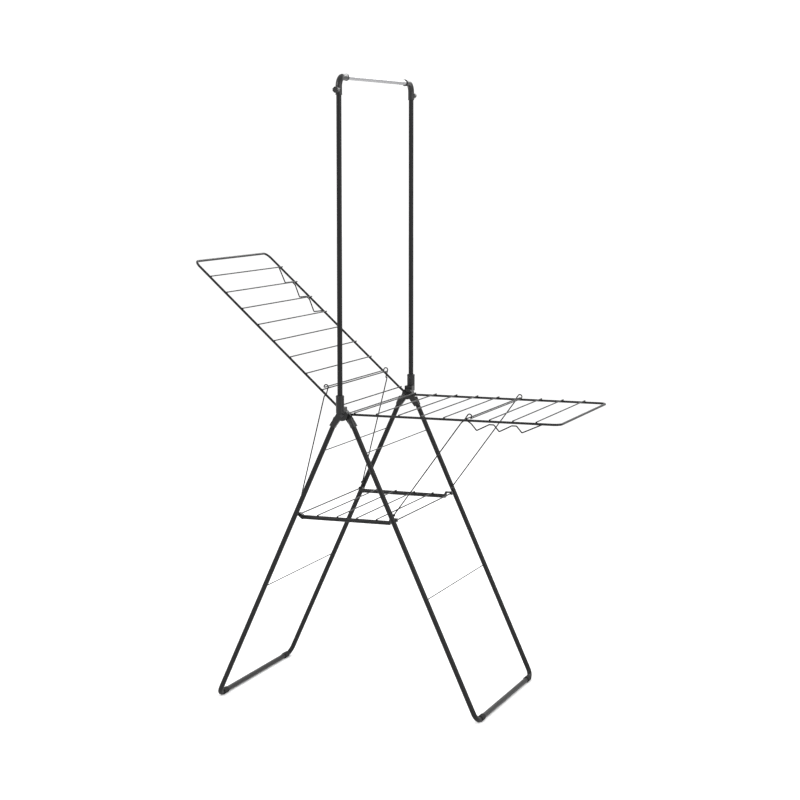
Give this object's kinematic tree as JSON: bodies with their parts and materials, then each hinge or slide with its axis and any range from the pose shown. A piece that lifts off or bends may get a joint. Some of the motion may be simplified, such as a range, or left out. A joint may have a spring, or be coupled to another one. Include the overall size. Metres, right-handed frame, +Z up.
{
  "type": "winged clothes airer",
  "caption": "Free-standing folding clothes airer with propped wings, a shelf between the legs and a lift-off hanging rail.",
  "frame": {"origin": "on the floor, under the middle of the airer's bounding box", "axes": "+X runs along the level wing to the right, +Y runs from the near hub to the far hub, +Z is up"},
  "size_m": [1.1338, 0.6406, 1.8565],
  "materials": {
    "tube_black": "satin powder coat",
    "wire_black": "satin powder coat",
    "hub_plastic": "fine moulded grain",
    "pad_rubber": "matt",
    "bar_steel": "brushed along its length",
    "pin_steel": "dull"
  },
  "bodies": {
    "left_leg_frame": {"near_left_leg": "tube_black", "far_left_leg": "tube_black", "left_floor_bar": "tube_black", "left_upper_wire": "wire_black", "left_lower_wire": "wire_black", "left_shelf_rod": "wire_black", "left_strut_pins": "pin_steel", "left_foot_pads": "pad_rubber", "near_left_hub": "hub_plastic", "far_left_hub": "hub_plastic", "hinge_rod": "pin_steel", "hinge_caps": "pin_steel"},
    "right_leg_frame": {"near_right_leg": "tube_black", "far_right_leg": "tube_black", "right_floor_bar": "tube_black", "right_upper_wire": "wire_black", "right_lower_wire": "wire_black", "right_shelf_rod": "wire_black", "right_strut_pins": "pin_steel", "right_foot_pads": "pad_rubber", "near_right_hub": "hub_plastic", "far_right_hub": "hub_plastic"},
    "left_wing": {"left_wing_near_rail": "wire_black", "left_wing_far_rail": "wire_black", "left_wing_end_bar": "wire_black", "left_wing_wires": "wire_black", "left_hanger_rack": "wire_black"},
    "right_wing": {"right_wing_near_rail": "wire_black", "right_wing_far_rail": "wire_black", "right_wing_end_bar": "wire_black", "right_wing_wires": "wire_black", "right_hanger_rack": "wire_black"},
    "left_strut": {"near_left_strut_arm": "wire_black", "far_left_strut_arm": "wire_black", "left_strut_hook": "wire_black"},
    "right_strut": {"near_right_strut_arm": "wire_black", "far_right_strut_arm": "wire_black", "right_strut_hook": "wire_black"},
    "shelf": {"near_shelf_rail": "tube_black", "far_shelf_rail": "tube_black", "shelf_wires": "wire_black", "shelf_pivots": "hub_plastic", "shelf_hooks": "hub_plastic"},
    "hanging_rail": {"near_upright": "tube_black", "far_upright": "tube_black", "near_elbow": "hub_plastic", "far_elbow": "hub_plastic", "hanging_bar": "bar_steel"},
    "near_clamp_knob": {"near_knob": "hub_plastic"},
    "far_clamp_knob": {"far_knob": "hub_plastic"}
  },
  "joints": [
    {"name": "leg_fold", "type": "hinge", "parent": "left_leg_frame", "child": "right_leg_frame", "pos_m": [-0.08356, 0, 0.88], "axis": [0, 1, 0], "range_deg": [0, 48.8]},
    {"name": "left_wing_fold", "type": "hinge", "parent": "left_leg_frame", "child": "left_wing", "pos_m": [-0.08356, 0, 0.88], "axis": [0, -1, 0], "range_deg": [0, 96.32]},
    {"name": "right_wing_fold", "type": "hinge", "parent": "right_leg_frame", "child": "right_wing", "pos_m": [-0.08356, 0, 0.88], "axis": [0, 1, 0], "range_deg": [0, 54.2]},
    {"name": "left_strut_swing", "type": "hinge", "parent": "left_leg_frame", "child": "left_strut", "pos_m": [-0.23409, 0, 0.59174], "axis": [0, -1, 0], "range_deg": [0, 168.65]},
    {"name": "right_strut_swing", "type": "hinge", "parent": "right_leg_frame", "child": "right_strut", "pos_m": [0.06697, 0, 0.59174], "axis": [0, 1, 0], "range_deg": [0, 118.37]},
    {"name": "shelf_fold", "type": "hinge", "parent": "left_leg_frame", "child": "shelf", "pos_m": [-0.23493, 0, 0.57415], "axis": [0, -1, 0], "range_deg": [0, 56.2]},
    {"name": "rail_lift", "type": "slide", "parent": "left_leg_frame", "child": "hanging_rail", "axis": [0, 0, 1], "range_m": [0, 0.06]},
    {"name": "near_knob_turn", "type": "hinge", "parent": "hanging_rail", "child": "near_clamp_knob", "pos_m": [-0.08356, -0.304, 1.81], "axis": [0, -1, 0], "range_deg": [0, 180]},
    {"name": "far_knob_turn", "type": "hinge", "parent": "hanging_rail", "child": "far_clamp_knob", "pos_m": [-0.08356, 0.304, 1.81], "axis": [0, 1, 0], "range_deg": [0, 180]}
  ],
  "couplings": [
    {"joint": "left_strut_swing", "follows": "left_wing_fold", "ratio": 1.7507},
    {"joint": "right_strut_swing", "follows": "right_wing_fold", "ratio": 2.1837},
    {"joint": "shelf_fold", "follows": "leg_fold", "ratio": 1.15}
  ]
}
